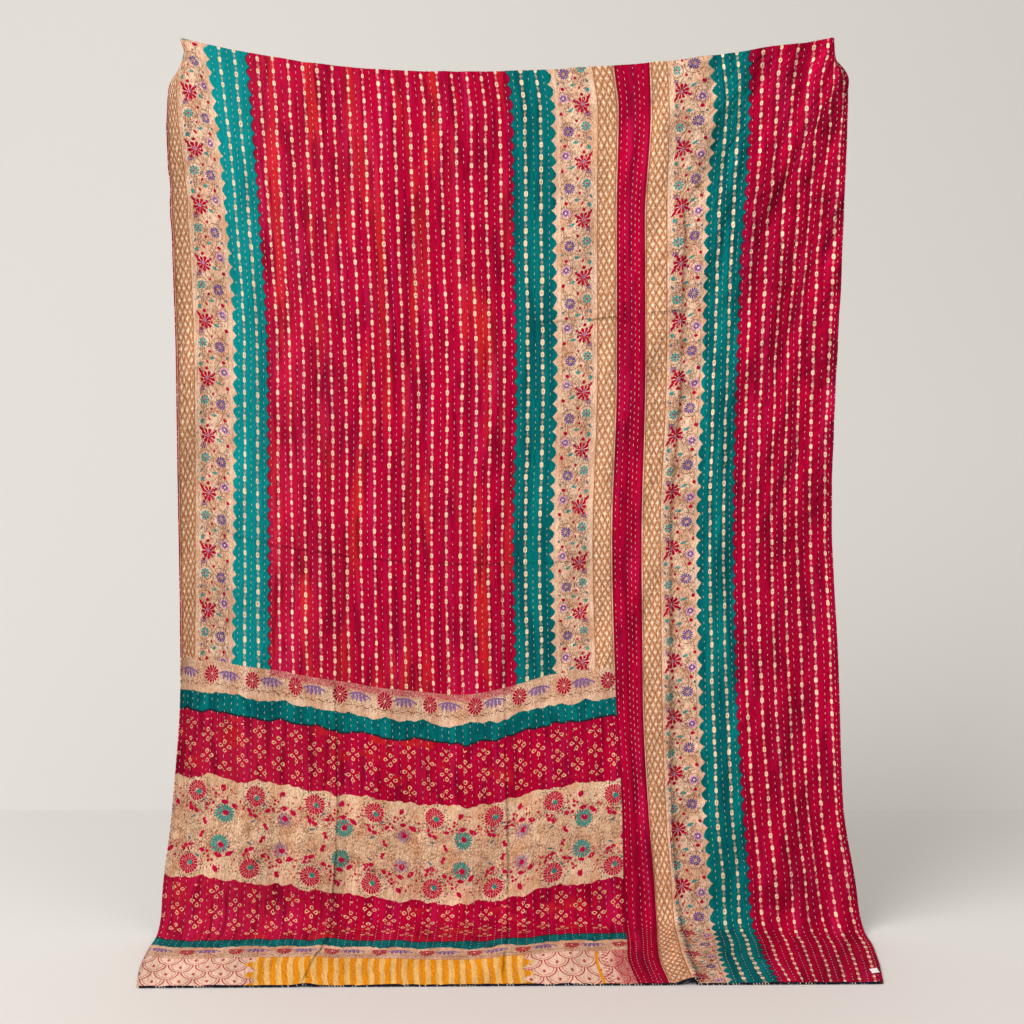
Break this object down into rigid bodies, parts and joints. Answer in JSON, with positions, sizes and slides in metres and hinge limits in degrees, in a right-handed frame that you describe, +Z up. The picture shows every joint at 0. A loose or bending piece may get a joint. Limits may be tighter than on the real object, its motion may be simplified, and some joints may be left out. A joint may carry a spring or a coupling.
{
  "type": "kantha quilt",
  "caption": "Layered cotton kantha quilt with sari-printed front and dark reverse, hanging from its two top corners with its lower end lying forward on the floor.",
  "frame": {"origin": "middle of the top edge, on the level of its lowest point and midway between the two held corners; the floor is 1.918 m below", "axes": "+X to the right as seen from the front, +Y towards the back (the front of the cloth faces -Y), +Z up"},
  "size_m": [1.5589, 0.402, 1.9962],
  "materials": {
    "left_sari_panel": "matt printed cotton sari cloth, crimson with teal and cream borders",
    "right_sari_panel": "matt printed cotton sari cloth, crimson with teal and cream borders",
    "backing_cloth": "matt dark navy cotton with pale running stitches",
    "corner_label": "blank off-white woven tape",
    "stitch_thread": "off-white cotton thread"
  },
  "bodies": {
    "root": {"left_sari_panel": "left_sari_panel", "right_sari_panel": "right_sari_panel", "backing_cloth": "backing_cloth", "corner_label": "corner_label"}
  },
  "joints": []
}
